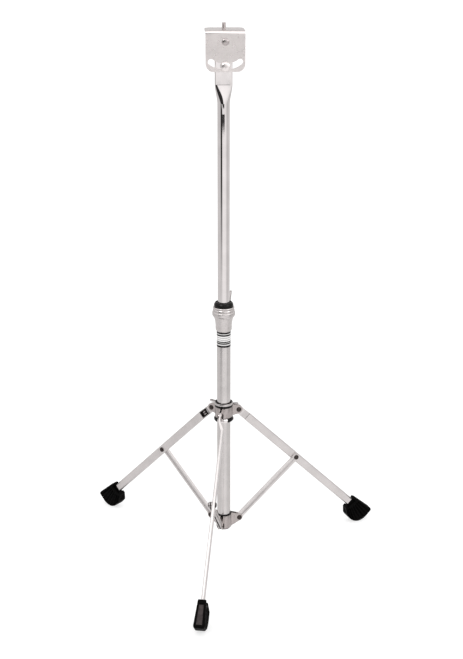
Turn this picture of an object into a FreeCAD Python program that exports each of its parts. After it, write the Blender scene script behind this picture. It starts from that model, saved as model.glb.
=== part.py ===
"""Folding practice pad stand: a telescoping tube on three folding legs.

Millimetres, +Z up. The origin is on the tube's axis at floor level, and the pad
bracket's plate faces -Y. Leg pieces are drawn along their own length and placed.
"""
import FreeCAD, Part
import math
import os
import re
import Sketcher

Vector = FreeCAD.Vector
Rotation = FreeCAD.Rotation

DIMS = {
    # telescoping tubes
    "base_radius": 11.1, "tube_wall": 1.2, "base_bottom": 41.5, "base_top": 409.0,
    "mast_radius": 9.525, "mast_bottom": 345.0, "flatten_start": 757.0, "flatten_end": 785.0,
    "flat_width": 27.0, "flat_thick": 5.0, "stripe_bottom": 366.5, "stripe_top": 392.0,
    "slide_gap": 0.3, "touch_gap": 0.05,
    # height collar and its bushing
    "collar_bottom": 393.0, "collar_top": 431.0, "collar_radius": 18.5, "collar_neck": 13.2,
    "bushing_top": 441.0, "bushing_radius": 15.7, "collar_bolt_height": 424.0,
    # pad bracket
    "pivot_height": 849.0, "plate_width": 59.6, "plate_bottom": 804.5, "flange_top": 865.0,
    "flange_depth": 55.0, "plate_thick": 3.0, "plate_corner": 12.0, "bend_inner": 1.5,
    "arc_radius": 36.8, "arc_width": 9.0, "arc_half_angle": 36.5, "tube_end_drop": 4.2,
    "bolt_radius": 3.175, "bolt_head_radius": 7.5, "bolt_head_rise": 3.6,
    "rivet_shank": 3.0, "pivot_head_radius": 5.65, "pivot_head_rise": 3.2,
    "stud_place": 10.0, "stud_shoulder": 3.8, "stud_top": 876.0, "stud_shift": -1.6,
    "hex_across": 11.1, "hex_thick": 3.6, "washer_radius": 7.9, "bracket_shift": 2.6,
    # sliding hub
    "hub_hinge_radius": 25.2, "hub_hinge_height": 252.0, "hub_wall_bottom": 243.5,
    "hub_wall_top": 262.5, "hub_wall_inner": 12.9, "sheet_thick": 1.6, "hub_ear_round": 7.0,
    "tongue_side": -1.5, "tongue_gap": 2.8, "hub_ring_bottom": 236.0, "hub_ring_top": 268.5,
    "top_ring_radius": 15.4, "top_ring_bore": 14.0, "bottom_ring_radius": 16.6,
    # lower hub
    "foot_hinge_radius": 26.6, "foot_hinge_height": 52.7, "foot_wall_bottom": 40.0,
    "foot_wall_top": 64.0, "foot_wall_inner": 11.15, "foot_ear_round": 6.2,
    "brace_side": -1.1, "brace_gap": 5.0,
    # legs and braces
    "leg_lean": 45.35, "leg_depth": 13.8, "leg_thick": 5.0, "leg_side": 4.0, "leg_wall": 1.0,
    "leg_corner": 2.0, "mouth_start": 13.5, "leg_body_start": 25.0, "tongue_end": 11.0,
    "tongue_width": 13.0, "tongue_thick": 2.4, "leg_joint": 150.6, "neck_place": 303.5, "socket_depth": 19.3,
    "brace_length": 141.12, "brace_lean": 48.53, "brace_depth": 10.2, "brace_width": 4.6,
    "brace_wall": 1.2, "brace_end": 5.6, "pin_radius": 2.4, "pin_hole": 2.7,
    "pin_head_radius": 4.2, "pin_head_rise": 2.0,
    # rubber feet
    "neck_top": 12.2, "neck_drop": 14.2, "foot_tip_rise": 16.2, "heel_reach": 10.5,
    "sole_radius": 29.8, "sole_centre_reach": 17.3, "sole_centre_rise": 4.6,
    "foot_thick": 18.3, "neck_thick": 13.0,
    # wing bolts and wing nut
    "wing_thick": 3.2, "wing_hub_radius": 6.0, "wing_hub_length": 9.0, "wing_reach": 20.5,
    "wing_lean": 6.0, "wing_round": 4.4, "screw_radius": 3.0, "screw_hole": 3.3,
    "boss_radius": 7.0, "boss_end": 27.0,
}
ALIAS = re.compile("|".join(rf"\b{name}\b" for name in DIMS))

FRONT_LEG_AZIMUTH = -101.5
LEGS = {"front": 0, "right": 120, "left": 240}
COLLAR_BOLT_AZIMUTH = 70.0
HUB_BOLT_AZIMUTH = 86.0
HUB_WING_TURN = -82.0

doc = FreeCAD.newDocument("PadStand")
dims = doc.addObject("Spreadsheet::Sheet", "Dims")
for row, (alias, number) in enumerate(DIMS.items(), 1):
    dims.set(f"A{row}", alias)
    dims.set(f"B{row}", str(number))
    dims.setAlias(f"B{row}", alias)
doc.recompute()
NODES = []


# ---- helpers ---------------------------------------------------------------

def ref(text):
    """The expression text with each alias pointing into the sheet."""
    return ALIAS.sub(lambda found: "Dims." + found.group(0), str(text))


def value(text):
    """The expression's number, worked out by the sheet."""
    found = dims.evalExpression(ref(text))
    return float(getattr(found, "Value", found))


def bind(thing, path, text):
    thing.setExpression(path, ref(text))


def new_body(label):
    body = doc.addObject("PartDesign::Body", label)
    body.Label = label
    NODES.append(body)
    return body


def new_sketch(body, plane="XY_Plane", offset="0", turn=0.0):
    """A sketch on one of the body's origin planes, moved along the plane's normal."""
    sketch = body.newObject("Sketcher::SketchObject", body.Label + "_sketch")
    support = [part for part in body.Origin.OriginFeatures if part.Role == plane][0]
    sketch.AttachmentSupport = [(support, "")]
    sketch.MapMode = "FlatFace"
    sketch.AttachmentOffset = FreeCAD.Placement(Vector(), Rotation(Vector(0, 1, 0), turn))
    if offset != "0":
        bind(sketch, "AttachmentOffset.Base.z", offset)
    return sketch


def pin_point(sketch, edge, end, x, y):
    """Holds one end of an edge at (x, y), both bound to the sheet."""
    for kind, text in (("DistanceX", x), ("DistanceY", y)):
        number = sketch.addConstraint(Sketcher.Constraint(kind, -1, 1, edge, end, value(text)))
        if ALIAS.search(str(text)):
            bind(sketch, f"Constraints[{number}]", text)


def outline(sketch, steps):
    """A closed outline. A step is (x, y) for a straight edge to that point, or
    (x, y, centre x, centre y, turn) for an arc to it, turn 1 counter-clockwise."""
    points = [Vector(value(step[0]), value(step[1]), 0) for step in steps]
    first = sketch.GeometryCount
    ends = []
    for number, step in enumerate(steps):
        start, stop = points[number - 1], points[number]
        if len(step) == 2:
            sketch.addGeometry(Part.LineSegment(start, stop))
            ends.append((1, 2))
            continue
        centre = Vector(value(step[2]), value(step[3]), 0)
        circle = Part.Circle(centre, Vector(0, 0, 1), stop.distanceToPoint(centre))
        angles = [math.atan2((p - centre).y, (p - centre).x) for p in (start, stop)]
        ends.append((1, 2) if step[4] > 0 else (2, 1))
        sketch.addGeometry(Part.ArcOfCircle(circle, *angles[::step[4]]))
    for number, step in enumerate(steps):
        edge, follower = first + number, first + (number + 1) % len(steps)
        stop, start = ends[number][1], ends[(number + 1) % len(steps)][0]
        sketch.addConstraint(Sketcher.Constraint("Coincident", edge, stop, follower, start))
        pin_point(sketch, edge, stop, step[0], step[1])
        if len(step) == 5:
            chord = points[number] - points[number - 1]
            upright = abs(chord.y) > abs(chord.x)
            kind, text = ("DistanceX", step[2]) if upright else ("DistanceY", step[3])
            held = sketch.addConstraint(Sketcher.Constraint(kind, -1, 1, edge, 3, value(text)))
            if ALIAS.search(str(text)):
                bind(sketch, f"Constraints[{held}]", text)


def ring(sketch, radius, x="0", y="0"):
    """A circle whose radius and centre are bound to the sheet."""
    centre = Vector(value(x), value(y), 0)
    edge = sketch.addGeometry(Part.Circle(centre, Vector(0, 0, 1), value(radius)))
    pin_point(sketch, edge, 3, x, y)
    held = sketch.addConstraint(Sketcher.Constraint("Radius", edge, value(radius)))
    bind(sketch, f"Constraints[{held}]", radius)


def block(sketch, left, low, right, high):
    outline(sketch, [(left, low), (right, low), (right, high), (left, high)])


def round_block(sketch, left, low, right, high, corner):
    """A rectangle with round corners."""
    x0, x1 = f"{left} + {corner}", f"{right} - {corner}"
    y0, y1 = f"{low} + {corner}", f"{high} - {corner}"
    outline(sketch, [
        (x1, low), (right, y0, x1, y0, 1),
        (right, y1), (x1, high, x1, y1, 1),
        (x0, high), (left, y1, x0, y1, 1),
        (left, y0), (x0, low, x0, y0, 1),
    ])


def pad(body, sketch, length, side="One side", back=False):
    feature = body.newObject("PartDesign::Pad", body.Label + "_pad")
    feature.Profile = sketch
    feature.SideType = side
    feature.Reversed = back
    bind(feature, "Length", length)
    return feature


def pocket(body, sketch, length, side="Symmetric", back=False):
    """Cuts the sketch out of the body and makes sure that material went."""
    doc.recompute()
    before = body.Shape.Volume
    feature = body.newObject("PartDesign::Pocket", body.Label + "_pocket")
    feature.Profile = sketch
    feature.SideType = side
    feature.Reversed = back
    bind(feature, "Length", length)
    doc.recompute()
    if body.Shape.Volume > before - 0.01:
        raise RuntimeError(f"{body.Label}: a pocket cut nothing")
    return feature


def turned(body, sketch, kind="Revolution"):
    """A full turn of the sketch about its own upright axis."""
    before = body.Shape.Volume if kind == "Groove" else 0.0
    feature = body.newObject("PartDesign::" + kind, body.Label + "_turn")
    feature.Profile = sketch
    feature.ReferenceAxis = (sketch, ["V_Axis"])
    feature.Angle = 360.0
    doc.recompute()
    if kind == "Groove" and body.Shape.Volume > before - 0.01:
        raise RuntimeError(f"{body.Label}: a groove cut nothing")
    return feature


def rounded(body, edges, radius):
    """Rounds the chosen edges of the body's tip."""
    doc.recompute()
    tip = body.Tip
    names = [f"Edge{n}" for n, edge in enumerate(tip.Shape.Edges, 1) if edges(edge)]
    feature = body.newObject("PartDesign::Fillet", body.Label + "_round")
    feature.Base = (tip, names)
    bind(feature, "Radius", radius)
    doc.recompute()
    return feature


def turn_about_z(angle, height=0.0):
    return FreeCAD.Placement(Vector(0, 0, height), Rotation(Vector(0, 0, 1), angle))


def turned_ring(label, steps):
    """A body of revolution about the tube's axis from (radius, height) steps."""
    body = new_body(label)
    sketch = new_sketch(body, "XZ_Plane")
    outline(sketch, steps)
    turned(body, sketch)
    return body


def pipe_steps(outer, inner, low, high):
    return [(inner, low), (outer, low), (outer, high), (inner, high)]


# ---- base ------------------------------------------------------------------

def make_base():
    turned_ring("base_tube", pipe_steps(
        "base_radius", "base_radius - tube_wall", "base_bottom", "base_top"))
    turned_ring("stripe_band", pipe_steps(
        "base_radius + 0.25", "base_radius + touch_gap", "stripe_bottom", "stripe_top"))
    turned_ring("base_tube_plug", [
        ("0", "foot_wall_bottom - 2"), ("base_radius", "foot_wall_bottom - 2"),
        ("base_radius", "base_bottom - touch_gap"),
        ("base_radius - tube_wall - touch_gap", "base_bottom - touch_gap"),
        ("base_radius - tube_wall - touch_gap", "base_bottom + 10"), ("0", "base_bottom + 10")])


def make_collar():
    """Die-cast collar: a slim neck on the base tube under a wide clamping lip."""
    bore = "base_radius + touch_gap"
    body = turned_ring("height_collar", [
        (bore, "collar_bottom"), ("collar_neck - 1.2", "collar_bottom"),
        ("collar_neck", "collar_bottom + 3.5"), ("collar_neck", "collar_bottom + 10"),
        ("collar_neck + 0.9", "collar_top - 22"), ("collar_neck + 2.8", "collar_top - 14"),
        ("collar_radius - 1", "collar_top - 12.5"),
        ("collar_radius", "collar_top - 9"), ("collar_radius", "collar_top - 5"),
        ("collar_radius - 2.6", "collar_top"), (bore, "collar_top")])
    boss = new_sketch(body, "YZ_Plane", "collar_radius - 2")
    ring(boss, "boss_radius", "0", "collar_bolt_height")
    pad(body, boss, "boss_end - collar_radius + 2")
    hole = new_sketch(body, "YZ_Plane", "boss_end")
    ring(hole, "screw_hole", "0", "collar_bolt_height")
    pocket(body, hole, "boss_end - base_radius + 0.5", "One side")
    body.Placement = turn_about_z(COLLAR_BOLT_AZIMUTH)


def make_bushing():
    """Nylon bushing: a thin sleeve inside the collar under a fat round lip."""
    bore, sleeve = "mast_radius + slide_gap", "base_radius + touch_gap - slide_gap"
    low, high = "collar_top + slide_gap", "bushing_top"
    turned_ring("collar_bushing", [
        (bore, "base_top + 1"), (sleeve, "base_top + 1"), (sleeve, low),
        ("bushing_radius - 4", low),
        ("bushing_radius", f"{low} + 4", "bushing_radius - 4", f"{low} + 4", 1),
        ("bushing_radius", f"{high} - 5"),
        ("bushing_radius - 5", high, "bushing_radius - 5", f"{high} - 5", 1),
        (bore, high)])


def make_segment(label, azimuth, size):
    """One stamped third of a hub: a curved wall between two ears.

    size holds the expressions of the hub: wall inner radius and heights, the
    hinge's radius and height, the ear's round end, the clevis's side and gap."""
    wall_in, low, high, hinge_r, hinge_z, ear, side, gap = size
    wall_out = f"({wall_in} + sheet_thick)"
    tip = f"({hinge_r} + {ear})"
    near = f"({side} + {gap} / 2)"
    far = f"({side} - {gap} / 2)"

    def spot(radius, offset, angle):
        """A point at a lateral offset from the ray at an angle."""
        along = f"sqrt({radius}^2 - {offset}^2)"
        return (f"{along} * cos({angle}) - {offset} * sin({angle})",
                f"{along} * sin({angle}) + {offset} * cos({angle})")

    near_out, far_out = f"({near} + sheet_thick)", f"({far} - sheet_thick)"
    body = new_body(label)
    plan = new_sketch(body, "XY_Plane", low)
    outline(plan, [
        spot(tip, near_out, 0), spot(wall_out, near_out, 0),
        (*spot(wall_out, far_out, 120), "0", "0", 1), spot(tip, far_out, 120),
        spot(tip, far, 120), spot(wall_in, far, 120),
        (*spot(wall_in, near, 0), "0", "0", -1), spot(tip, near, 0)])
    pad(body, plan, f"{high} - {low}")
    ear_side = new_sketch(body, "XZ_Plane")
    outer = f"{tip} + 8"
    outline(ear_side, [
        (f"{wall_out} + 0.4", f"{high} + 1"), (f"{wall_out} + 0.4", high),
        (hinge_r, f"{hinge_z} + {ear}"),
        (f"{hinge_r} + {ear}", hinge_z, hinge_r, hinge_z, -1),
        (hinge_r, f"{hinge_z} - {ear}", hinge_r, hinge_z, -1),
        (f"{wall_out} + 0.4", low), (f"{wall_out} + 0.4", f"{low} - 1"),
        (outer, f"{low} - 1"), (outer, f"{high} + 1")])
    doc.recompute()
    turned(body, ear_side, "Groove")
    for angle in (0, 120):
        hole = new_sketch(body, "XZ_Plane", turn=angle)
        ring(hole, "pin_radius + touch_gap", hinge_r, hinge_z)
        pocket(body, hole, f"{gap} * 4")
    body.Placement = turn_about_z(azimuth)
    return body


def pin_group(label, hinge_r, hinge_z, side, gap):
    """Three rivets across the clevises of a hub, one solid for each leg."""
    parts = []
    for leg, azimuth in LEGS.items():
        body = doc.addObject("PartDesign::Body", f"{label}_{leg}")
        length = f"{gap} + 2 * sheet_thick + 2 * touch_gap"
        sketch = new_sketch(body, "XZ_Plane")
        half = f"({length}) / 2"
        outline(sketch, [
            ("0", f"-{half} - pin_head_rise"), ("pin_head_radius * 0.6", f"-{half} - pin_head_rise"),
            ("pin_head_radius", f"-{half} - pin_head_rise * 0.4"), ("pin_head_radius", f"-{half}"),
            ("pin_radius", f"-{half}"), ("pin_radius", half), ("pin_head_radius", half),
            ("pin_head_radius", f"{half} + pin_head_rise * 0.4"),
            ("pin_head_radius * 0.6", f"{half} + pin_head_rise"), ("0", f"{half} + pin_head_rise")])
        turned(body, sketch)
        flat = FreeCAD.Placement(
            Vector(value(hinge_r), value(side), value(hinge_z)), Rotation(Vector(1, 0, 0), 90))
        body.Placement = turn_about_z(FRONT_LEG_AZIMUTH + azimuth).multiply(flat)
        parts.append(body)
    group = doc.addObject("Part::Compound", label)
    group.Label = label
    group.Links = parts
    NODES.append(group)
    return group


LOWER_HUB = ("foot_wall_inner", "foot_wall_bottom", "foot_wall_top", "foot_hinge_radius",
             "foot_hinge_height", "foot_ear_round", "brace_side", "brace_gap")
SLIDING_HUB = ("hub_wall_inner", "hub_wall_bottom", "hub_wall_top", "hub_hinge_radius",
               "hub_hinge_height", "hub_ear_round", "tongue_side", "tongue_gap")
SEGMENT_NAMES = {"right": 0, "back": 120, "left": 240}


def make_lower_hub():
    for name, turn in SEGMENT_NAMES.items():
        make_segment(f"lower_hub_segment_{name}", FRONT_LEG_AZIMUTH + turn, LOWER_HUB)
    pin_group("brace_hinge_rivets", "foot_hinge_radius", "foot_hinge_height", "brace_side", "brace_gap")


# ---- sliding hub -----------------------------------------------------------

def make_sliding_hub():
    liner_in, liner_out = "base_radius + slide_gap", "hub_wall_inner - touch_gap"
    flange, shelf, rim = "top_ring_bore - touch_gap", "hub_wall_top + touch_gap", "hub_ring_top - 2"
    liner = turned_ring("hub_liner", [
        (liner_in, "hub_ring_bottom + 1"), (liner_out, "hub_ring_bottom + 1"), (liner_out, shelf),
        (flange, shelf), (flange, rim), (liner_in, rim)])
    low, high = "hub_wall_top + touch_gap", "hub_ring_top"
    lip = "top_ring_radius - 0.8"
    turned_ring("hub_top_ring", [
        ("top_ring_bore", low), ("top_ring_radius", low), ("top_ring_radius", f"{high} - 0.8"),
        (lip, high, lip, f"{high} - 0.8", 1), ("top_ring_bore", high)])
    bore = "hub_wall_inner"
    low, high = "hub_ring_bottom", "hub_wall_bottom - touch_gap"
    turned_ring("hub_bottom_ring", [
        (bore, low), ("bottom_ring_radius - 1.5", low),
        ("bottom_ring_radius", f"{low} + 1.5", "bottom_ring_radius - 1.5", f"{low} + 1.5", 1),
        ("bottom_ring_radius", f"{low} + 4"), ("bottom_ring_radius - 2", high), (bore, high)])
    back = None
    for name, turn in SEGMENT_NAMES.items():
        segment = make_segment(f"hub_segment_{name}", FRONT_LEG_AZIMUTH + turn, SLIDING_HUB)
        back = segment if name == "back" else back
    screw_azimuth = HUB_BOLT_AZIMUTH - FRONT_LEG_AZIMUTH - SEGMENT_NAMES["back"]
    for body, azimuth in ((back, screw_azimuth), (liner, HUB_BOLT_AZIMUTH)):
        hole = new_sketch(body, "YZ_Plane")
        hole.AttachmentOffset = FreeCAD.Placement(Vector(), Rotation(Vector(0, 1, 0), azimuth))
        ring(hole, "screw_hole", "0", "hub_hinge_height")
        pocket(body, hole, "boss_end", "One side", True)
    boss = new_body("hub_screw_boss")
    face = new_sketch(boss, "YZ_Plane", "hub_wall_inner")
    ring(face, "boss_radius", "0", "hub_hinge_height")
    ring(face, "screw_hole", "0", "hub_hinge_height")
    pad(boss, face, "boss_end - hub_wall_inner")
    saddle = new_sketch(boss, "XY_Plane", "hub_ring_bottom")
    ring(saddle, "hub_wall_inner + sheet_thick + touch_gap")
    pocket(boss, saddle, "hub_ring_top - hub_ring_bottom", "One side", True)
    boss.Placement = turn_about_z(HUB_BOLT_AZIMUTH)
    pin_group("leg_hinge_rivets", "hub_hinge_radius", "hub_hinge_height", "tongue_side", "tongue_gap")


def wing(body, hub_end):
    """Two flat wings that lean outward from the screw's hub, along local X."""
    for side in ("1", "-1"):
        sketch = new_sketch(body, "XZ_Plane")
        low_x = f"{hub_end} - wing_hub_length / 2"
        high_x = f"{low_x} + wing_lean"
        spread = "sqrt(wing_reach^2 + wing_lean^2)"
        dx, dz = f"wing_round * wing_reach / {spread}", f"wing_round * wing_lean / {spread}"
        turn = 1 if side == "1" else -1
        outline(sketch, [
            (f"{low_x} - {dx}", f"{side} * {dz}"),
            (f"{low_x} + {dx}", f"-{side} * {dz}", low_x, "0", turn),
            (f"{high_x} + {dx}", f"{side} * (wing_reach - {dz})"),
            (f"{high_x} - {dx}", f"{side} * (wing_reach + {dz})",
             high_x, f"{side} * wing_reach", turn)])
        pad(body, sketch, "wing_thick", "Symmetric")


def make_wing_bolt(label, tip, azimuth, height, wing_turn):
    """A wing bolt along local X from its screw's tip to its wings."""
    body = new_body(label)
    start = "boss_end + 0.6"
    sketch = new_sketch(body, "YZ_Plane", tip)
    ring(sketch, "screw_radius")
    pad(body, sketch, f"{start} + 1 - {tip}")
    face = new_sketch(body, "YZ_Plane", start)
    ring(face, "wing_hub_radius")
    pad(body, face, "wing_hub_length")
    wing(body, f"({start} + wing_hub_length)")
    place = turn_about_z(azimuth, value(height))
    body.Placement = place.multiply(FreeCAD.Placement(Vector(), Rotation(Vector(1, 0, 0), wing_turn)))
    return body


# ---- mast ------------------------------------------------------------------

def make_upper_tube():
    """Round tube whose top is pressed flat, with a round end about the pivot."""
    body = new_body("upper_tube")
    sketch = new_sketch(body, "XY_Plane", "mast_bottom")
    ring(sketch, "mast_radius")
    pad(body, sketch, "flatten_start - mast_bottom")

    def oval(height, width, thick):
        section = new_sketch(body, "XY_Plane", height)
        half, bend = f"(({width}) - ({thick})) / 2", f"({thick}) / 2"
        outline(section, [
            (half, f"-{bend}"), (half, bend, half, "0", 1),
            (f"-{half}", bend), (f"-{half}", f"-{bend}", f"-{half}", "0", 1)])
        return section

    def loft(kind, width, thick, round_width, round_thick, name):
        feature = body.newObject("PartDesign::" + kind, name)
        feature.Profile = oval("flatten_start", round_width, round_thick)
        feature.Sections = [oval("flatten_end", width, thick)]
        feature.Ruled = True
        return feature

    mast = "2 * mast_radius"
    loft("AdditiveLoft", "flat_width", "flat_thick", f"{mast} + 0.04", mast, "flattening")
    flat = oval("flatten_end", "flat_width", "flat_thick")
    pad(body, flat, "pivot_height - flatten_end + mast_radius")
    end = new_sketch(body, "XZ_Plane")
    half, centre = "flat_width / 2", "pivot_height - tube_end_drop"
    outline(end, [
        (f"{half} + 1", centre), (half, centre), (f"-{half}", centre, "0", centre, 1),
        (f"-{half} - 1", centre), (f"-{half} - 1", f"{centre} + flat_width"),
        (f"{half} + 1", f"{centre} + flat_width")])
    pocket(body, end, "flat_thick * 2")
    bore = new_sketch(body, "XY_Plane", "mast_bottom")
    ring(bore, "mast_radius - tube_wall")
    pocket(body, bore, "flatten_start - mast_bottom", "One side", True)
    wall = "2 * tube_wall"
    loft("SubtractiveLoft", f"flat_width - {wall}", f"flat_thick - {wall}",
         f"{mast} - {wall} + 0.04", f"{mast} - {wall}", "hollow")
    slit = oval("flatten_end", f"flat_width - {wall}", f"flat_thick - {wall}")
    pocket(body, slit, "pivot_height - flatten_end + mast_radius * 2", "One side", True)
    for radius, height in (("rivet_shank", "pivot_height"), ("bolt_radius", "pivot_height - arc_radius")):
        hole = new_sketch(body, "XZ_Plane")
        ring(hole, f"{radius} + touch_gap", "bracket_shift", height)
        pocket(body, hole, "flat_thick * 2")


def turned_along_y(label, steps, height):
    """A body of revolution laid along Y: steps are (radius, distance along -Y)."""
    body = turned_ring(label, steps)
    pin = Vector(value("bracket_shift"), 0, value(height))
    body.Placement = FreeCAD.Placement(pin, Rotation(Vector(1, 0, 0), 90))
    return body


def make_tilt_joint():
    face = "(flat_thick / 2)"
    front = f"({face} + 0.1 + plate_thick + 0.1)"
    low_head, dome = "pivot_head_radius", "pivot_head_rise"
    turned_along_y("bracket_pivot_rivet", [
        ("0", f"-{face} - {dome}"), (f"{low_head} * 0.7", f"-{face} - {dome}"),
        (low_head, f"-{face} - 0.8"), (low_head, f"-{face} - touch_gap"),
        ("rivet_shank", f"-{face} - touch_gap"),
        ("rivet_shank", front), (low_head, front), (low_head, f"{front} + 0.6"),
        (f"{low_head} * 0.75", f"{front} + {dome} * 0.75"), ("0", f"{front} + {dome}")], "pivot_height")
    head = "bolt_head_radius"
    turned_along_y("tilt_bolt", [
        ("0", f"-{face} - 12.5"), ("bolt_radius", f"-{face} - 12.5"), ("bolt_radius", front),
        (head, front), (head, f"{front} + 0.7"), (f"{head} * 0.8", f"{front} + bolt_head_rise * 0.65"),
        (f"{head} * 0.4", f"{front} + bolt_head_rise * 0.95"),
        ("0", f"{front} + bolt_head_rise")], "pivot_height - arc_radius")
    turned_along_y("tilt_washer", [
        ("bolt_radius + touch_gap", f"-{face} - 1.6"), ("washer_radius", f"-{face} - 1.6"),
        ("washer_radius", f"-{face} - touch_gap"), ("bolt_radius + touch_gap", f"-{face} - touch_gap")],
        "pivot_height - arc_radius")
    nut = new_body("tilt_wing_nut")
    start = f"({face} + 1.9)"
    sketch = new_sketch(nut, "YZ_Plane", start)
    ring(sketch, "wing_hub_radius")
    pad(nut, sketch, "wing_hub_length")
    wing(nut, f"({start} + wing_hub_length)")
    bore = new_sketch(nut, "YZ_Plane", start)
    ring(bore, "bolt_radius + slide_gap")
    pocket(nut, bore, "wing_hub_length + wing_reach", "One side", True)
    bolt = Vector(value("bracket_shift"), 0, value("pivot_height - arc_radius"))
    nut.Placement = FreeCAD.Placement(bolt, Rotation(90, 0, 0))


def make_bracket():
    """L-bracket: an upright plate with an arc slot, and a flange for the pad."""
    body = new_body("pad_bracket")
    back, front = "flat_thick / 2 + 0.1", "flat_thick / 2 + 0.1 + plate_thick"
    rear, top, under = "flange_depth", "flange_top", "flange_top - plate_thick"
    bend_in, bend_out = "bend_inner", "bend_inner + plate_thick"
    centre_y, centre_z = f"-({back}) + {bend_in}", f"{under} - {bend_in}"
    side = new_sketch(body, "YZ_Plane")
    outline(side, [
        (f"-({front})", "plate_bottom"), (f"-({back})", "plate_bottom"), (f"-({back})", centre_z),
        (centre_y, under, centre_y, centre_z, -1),
        (f"{rear} - ({front})", under), (f"{rear} - ({front})", top),
        (f"-({front}) + {bend_out}", top),
        (f"-({front})", f"{top} - ({bend_out})", centre_y, centre_z, 1)])
    pad(body, side, "plate_width", "Symmetric")
    round_plate_corners(body, value("plate_bottom"), 2)
    round_plate_corners(body, value(f"{rear} - ({front})"), 1)
    slot = new_sketch(body, "XZ_Plane")
    pivot, bend = "pivot_height", "arc_half_angle"

    def on_arc(radius, angle):
        return (f"({radius}) * sin({angle})", f"{pivot} - ({radius}) * cos({angle})")

    inner, outer = "arc_radius - arc_width / 2", "arc_radius + arc_width / 2"
    left, right = f"-{bend}", bend
    outline(slot, [
        on_arc(inner, left), (*on_arc(inner, right), "0", pivot, 1),
        (*on_arc(outer, right), *on_arc("arc_radius", right), -1),
        (*on_arc(outer, left), "0", pivot, -1)][1:] + [
        (*on_arc(inner, left), *on_arc("arc_radius", left), -1)])
    pocket(body, slot, "flange_depth * 0.5")
    hole = new_sketch(body, "XZ_Plane")
    ring(hole, "rivet_shank + slide_gap", "0", pivot)
    pocket(body, hole, "flange_depth * 0.5")
    stud_hole = new_sketch(body, "XY_Plane", "flange_top")
    ring(stud_hole, "stud_shoulder + touch_gap", "stud_shift", "stud_place")
    pocket(body, stud_hole, "plate_thick * 3")
    body.Placement = FreeCAD.Placement(Vector(value("bracket_shift"), 0, 0), Rotation())


def round_plate_corners(body, place, axis):
    """Rounds the two corners at one end of the bracket, which lies at place along the axis."""
    through = 1 if axis == 2 else 2

    def is_corner(edge):
        box = edge.BoundBox
        low = (box.XMin, box.YMin, box.ZMin)
        high = (box.XMax, box.YMax, box.ZMax)
        thin = abs(high[through] - low[through] - value("plate_thick")) < 1e-3
        at_end = abs(low[axis] - place) < 1e-3 and abs(high[axis] - place) < 1e-3
        return thin and at_end and abs(abs(low[0]) - value("plate_width / 2")) < 1e-3

    rounded(body, is_corner, "plate_corner")


def make_pad_bolt():
    """Hex bolt up through the flange; its thread is the stud for the pad."""
    body = new_body("pad_bolt")
    under = "flange_top - plate_thick - touch_gap"
    head = new_sketch(body, "XY_Plane", f"{under} - hex_thick")
    corner = "hex_across / 2 / cos(30)"
    outline(head, [(f"stud_shift + {corner} * cos({angle})", f"stud_place + {corner} * sin({angle})")
                   for angle in range(0, 360, 60)])
    pad(body, head, "hex_thick")
    shoulder = new_sketch(body, "XY_Plane", under)
    ring(shoulder, "stud_shoulder", "stud_shift", "stud_place")
    pad(body, shoulder, f"flange_top - ({under})")
    stud = new_sketch(body, "XY_Plane", "flange_top")
    ring(stud, "bolt_radius", "stud_shift", "stud_place")
    pad(body, stud, "stud_top - flange_top")
    body.Placement = FreeCAD.Placement(Vector(value("bracket_shift"), 0, 0), Rotation())


# ---- legs and braces -------------------------------------------------------

def leg_frame(radius, height, lean, azimuth):
    """Local X runs outward along the piece, tipped from the upright by lean."""
    tilt = FreeCAD.Placement(Vector(value(radius), 0, value(height)), Rotation(Vector(0, 1, 0), lean))
    return turn_about_z(azimuth).multiply(tilt)


def make_leg(name, azimuth):
    body = new_body(f"{name}_leg")
    near, far = "leg_side - leg_thick / 2", "leg_side + leg_thick / 2"
    half = "leg_depth / 2"
    tongue_near, tongue_far = "tongue_side - tongue_thick / 2", "tongue_side + tongue_thick / 2"
    plate = new_sketch(body, "XZ_Plane", f"-({tongue_far})")
    width = "tongue_width / 2"
    outline(plate, [
        ("0", width), ("0", f"-{width}", "0", "0", 1),
        ("tongue_end", f"-{width}"), ("tongue_end", width)])
    pad(body, plate, "tongue_thick")
    joggle = new_sketch(body, "XY_Plane")
    outline(joggle, [
        ("tongue_end - 1", tongue_near), ("tongue_end", tongue_near), ("leg_body_start", near),
        ("leg_body_start + 1", near), ("leg_body_start + 1", far), ("leg_body_start", far),
        ("tongue_end", tongue_far), ("tongue_end - 1", tongue_far)])
    pad(body, joggle, "tongue_width", "Symmetric")
    section = new_sketch(body, "YZ_Plane", "leg_body_start")
    round_block(section, f"({near})", f"-{half}", f"({far})", half, "leg_corner")
    pad(body, section, "neck_place + socket_depth - leg_body_start")
    bore = new_sketch(body, "YZ_Plane", "leg_body_start + 3")
    block(bore, f"({near} + leg_wall)", f"-{half} + leg_wall", f"({far} - leg_wall)", f"{half} - leg_wall")
    pocket(body, bore, "neck_place + socket_depth", "One side", True)
    mouth = new_sketch(body, "XY_Plane")
    floor_side, roof_side = f"{near} + leg_wall + 0.2", f"{far} - leg_wall - 0.2"
    outline(mouth, [
        ("mouth_start", f"{tongue_near} + 2 * leg_wall"), ("leg_body_start", floor_side),
        ("leg_body_start + 5", floor_side), ("leg_body_start + 5", roof_side),
        ("leg_body_start + 0.5", roof_side), ("leg_body_start - 2", f"{far} + 2"),
        ("mouth_start", f"{far} + 2")])
    pocket(body, mouth, "leg_depth - 3.2 * leg_wall")
    for place, radius in (("0", "pin_hole"), ("leg_joint", "pin_radius + touch_gap")):
        hole = new_sketch(body, "XZ_Plane")
        ring(hole, radius, place, "0")
        pocket(body, hole, "leg_depth * 2")
    body.Placement = leg_frame("hub_hinge_radius", "hub_hinge_height", 90 - DIMS["leg_lean"], azimuth)


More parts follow.
